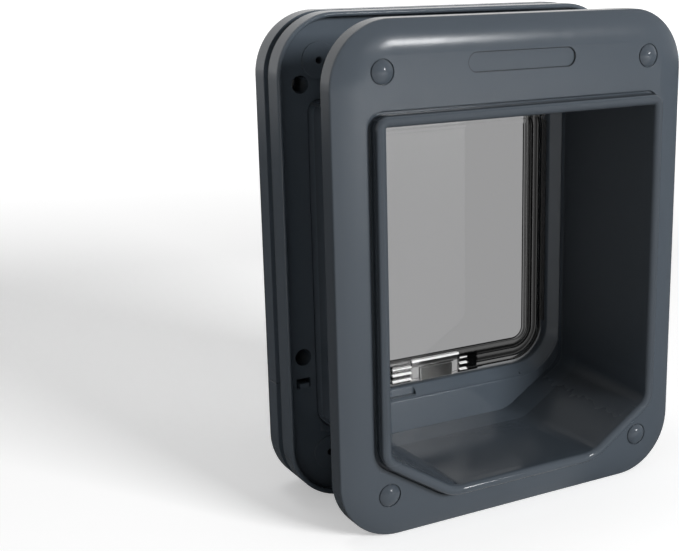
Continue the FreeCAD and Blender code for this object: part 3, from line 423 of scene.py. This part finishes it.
# Studio: angles on the floor turn from straight ahead of the outer face, to the right
CENTRE = Vector((0.0, 0.0, 0.12))         # the lamps stand round this and point at it
NO_BOUNCE = 0.5           # the count of a ray's diffuse bounces is under this before the first
FLOOR_SIDE = 12.0
FLOOR_COLOR = 0.95
FLOOR_WHITE = 0.38        # the seen floor is lifted by this near the object, and to white far out
FAR_START, FAR_END = 0.55, 1.6
# A pool of painted light on the floor in front, seen only in reflections: where it fades in by angle and by
# distance, and its glow.
POOL_FULL, POOL_END = math.radians(25.0), math.radians(34.0)
POOL_START, POOL_FAR = 1.2, 1.9
POOL_PAINTED_GLOW = 0.4
# Painted shade on the floor to either side, seen only in reflections: where it fades in, and its tone.
RIGHT_START, RIGHT_FULL = math.radians(32.0), math.radians(52.0)
LEFT_START, LEFT_FULL = math.radians(-50.0), math.radians(-85.0)
REFLECTED_SIDE_SHADE = 0.2
WORLD_LIGHT = 0.25
ROOM_IN_FRONT = 0.25
ROOM_EDGE = 0.3


def around(azimuth, elevation, distance):
    """A place round the object: azimuth 0 is straight in front of the outer face, 90 to its right."""
    a, e = math.radians(azimuth), math.radians(elevation)
    return CENTRE + Vector((math.sin(a) * math.cos(e), -math.cos(a) * math.cos(e), math.sin(e))) * distance


def area_light(name, at, width, height, power):
    data = bpy.data.lights.new(name, "AREA")
    data.shape = "RECTANGLE"
    data.size, data.size_y = width, height
    data.energy = power
    light = bpy.data.objects.new(name, data)
    light.location = at
    light.rotation_euler = (CENTRE - at).to_track_quat("-Z", "Y").to_euler()
    scene.collection.objects.link(light)
    return light


def unscattered(s, path, kind):
    """1 on rays of this kind that have met no diffuse surface, so that they bring no light to one."""
    return s.all_of(s.under(path["Diffuse Depth"], NO_BOUNCE), path[kind])


def mirrored_floor(s, path, x, y, lit):
    """What glossy parts see of the floor: a pool of painted light in front and painted shade far to either side,
    both showing only in reflections.
    """
    turned = s.math("ARCTAN2", x, s.math("MULTIPLY", y, -1.0))
    glossy = unscattered(s, path, "Is Glossy Ray")
    pool = s.all_of(s.eased(turned, POOL_END, POOL_FULL), s.eased(s.length(x, y), POOL_START, POOL_FAR), glossy)
    aside = s.any_of(s.eased(turned, RIGHT_START, RIGHT_FULL), s.eased(turned, LEFT_START, LEFT_FULL))
    shaded = s.blend(s.all_of(glossy, aside), lit, s.diffuse(REFLECTED_SIDE_SHADE))
    return s.summed(shaded, s.glow(s.math("MULTIPLY", pool, POOL_PAINTED_GLOW)))


def make_floor():
    """The camera sees the lit floor lifted towards white, and the clear parts show it plain white."""
    half = FLOOR_SIDE / 2
    corners = [(-half, -half, 0), (half, -half, 0), (half, half, 0), (-half, half, 0)]
    mesh = bpy.data.meshes.new("floor")
    mesh.from_pydata(corners, [], [(0, 1, 2, 3)])
    floor = bpy.data.objects.new("floor", mesh)
    scene.collection.objects.link(floor)
    s = Shader("floor")
    path = s.add("ShaderNodeLightPath").outputs
    x, y, _ = s.along()
    lit = s.diffuse(FLOOR_COLOR)
    lift = s.spread(s.length(x, y), FAR_START, FAR_END, low=FLOOR_WHITE)
    seen = s.blend(path["Is Camera Ray"], mirrored_floor(s, path, x, y, lit), s.summed(lit, s.glow(lift)))
    s.finish(s.blend(unscattered(s, path, "Is Transmission Ray"), seen, s.glow(1.0)))
    mesh.materials.append(s.material)


class WorldShader(Shader):
    """The same helper on a world's node tree."""

    def __init__(self, name):
        self.world = bpy.data.worlds.new(name)
        self.world.use_nodes = True
        self.tree = self.world.node_tree
        self.tree.nodes.clear()
        self.out = self.tree.nodes.new("ShaderNodeOutputWorld")


def make_world():
    """White behind the object for the camera and the clear parts; glossy parts see a dimmer room in front."""
    s = WorldShader("studio")
    scene.world = s.world
    path = s.add("ShaderNodeLightPath").outputs
    towards = s.apart(s.add("ShaderNodeTexCoord").outputs["Generated"])
    room = s.spread(towards["Y"], -ROOM_EDGE, ROOM_EDGE, low=ROOM_IN_FRONT)
    mirrored = s.all_of(room, unscattered(s, path, "Is Glossy Ray"))
    white = s.any_of(path["Is Camera Ray"], unscattered(s, path, "Is Transmission Ray"), mirrored)
    strength = s.spread(white, 0.0, 1.0, low=WORLD_LIGHT)
    s.finish(s.set(s.add("ShaderNodeBackground"), Color=grey(1.0), Strength=strength).outputs[0])


make_camera()
dress()
make_floor()
make_world()
# The key stands low in front, a little to the right: it throws the long soft shadow back and to the
# left, and leaves the tunnel's right wall dark. The streak shows only as a highlight on the upper edge
# and the domes, and the lamp on top lights the rolled edges
key = area_light("key", around(17.6, 20.0, 2.2), width=0.78, height=0.5, power=49.5)
key.visible_glossy = False
streak = area_light("streak", around(26.5, 15.5, 2.2), width=0.24, height=0.22, power=9.0)
streak.visible_diffuse = False
streak.visible_transmission = False
area_light("top", Vector((-0.25, 0.35, 1.5)), width=0.45, height=0.45, power=1.6)

scene.view_settings.view_transform = "Standard"
